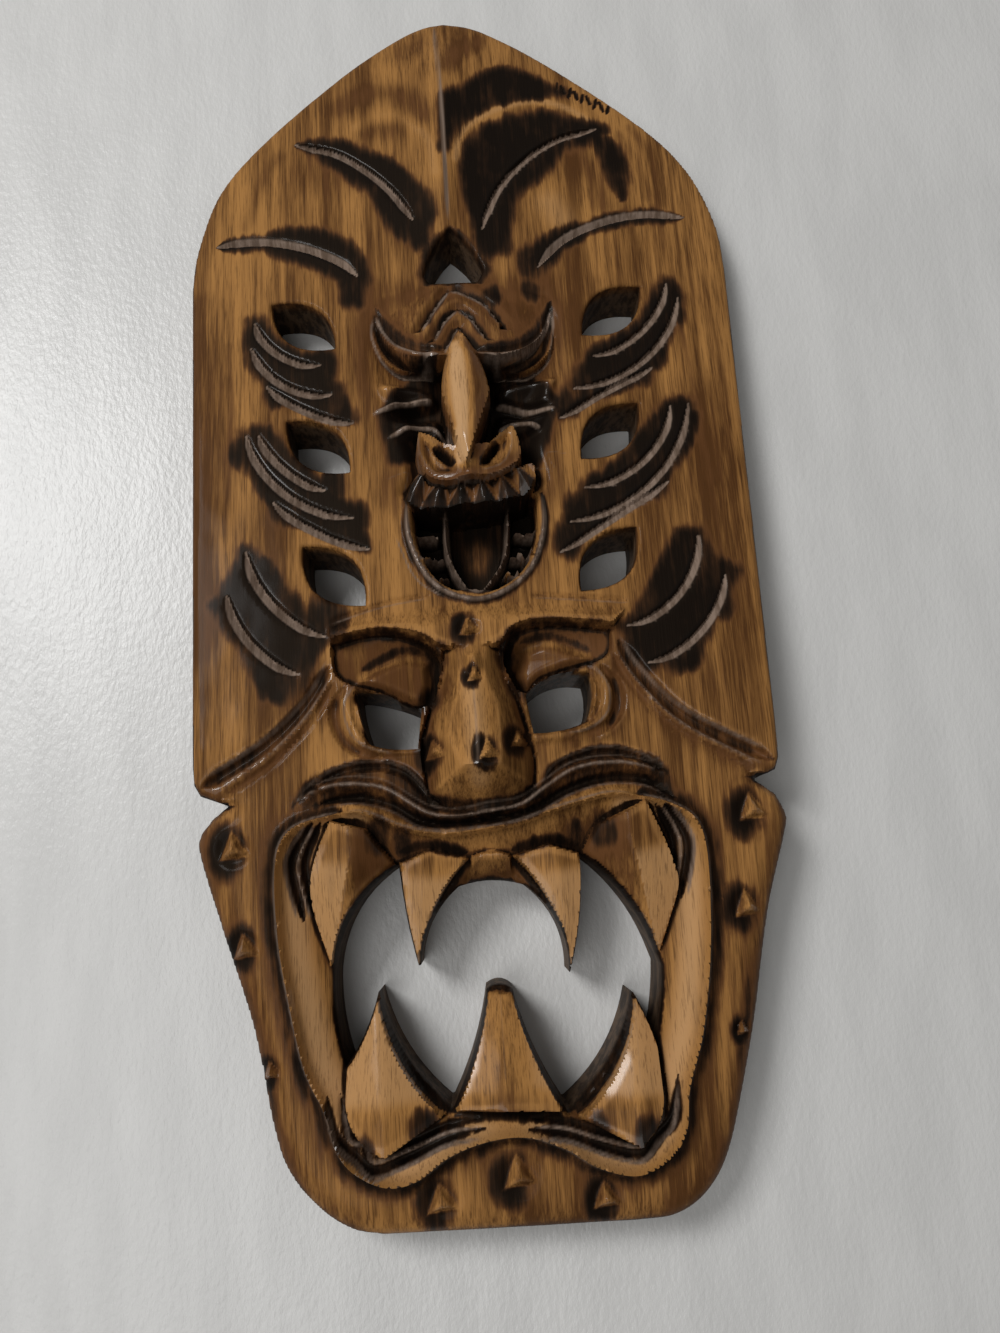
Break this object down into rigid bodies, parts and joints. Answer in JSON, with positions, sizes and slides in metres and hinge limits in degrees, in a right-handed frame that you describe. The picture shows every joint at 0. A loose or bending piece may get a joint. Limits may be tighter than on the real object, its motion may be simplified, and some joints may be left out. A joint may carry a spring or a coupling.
{
  "type": "wooden tribal mask",
  "caption": "Carved wooden wall mask: a pointed, pierced plank with a small horned head above a big face with an open mouth and long fangs, flat at the back.",
  "frame": {"origin": "middle of the flat back's bounding box", "axes": "+Y towards the pointed crown, +Z out of the face, +X to the right of someone facing it"},
  "size_m": [0.1824, 0.4045, 0.0463],
  "materials": {
    "wood": "golden brown, scorched round the cuts, gloss varnish"
  },
  "bodies": {
    "root": {"mask": "wood"}
  },
  "joints": []
}
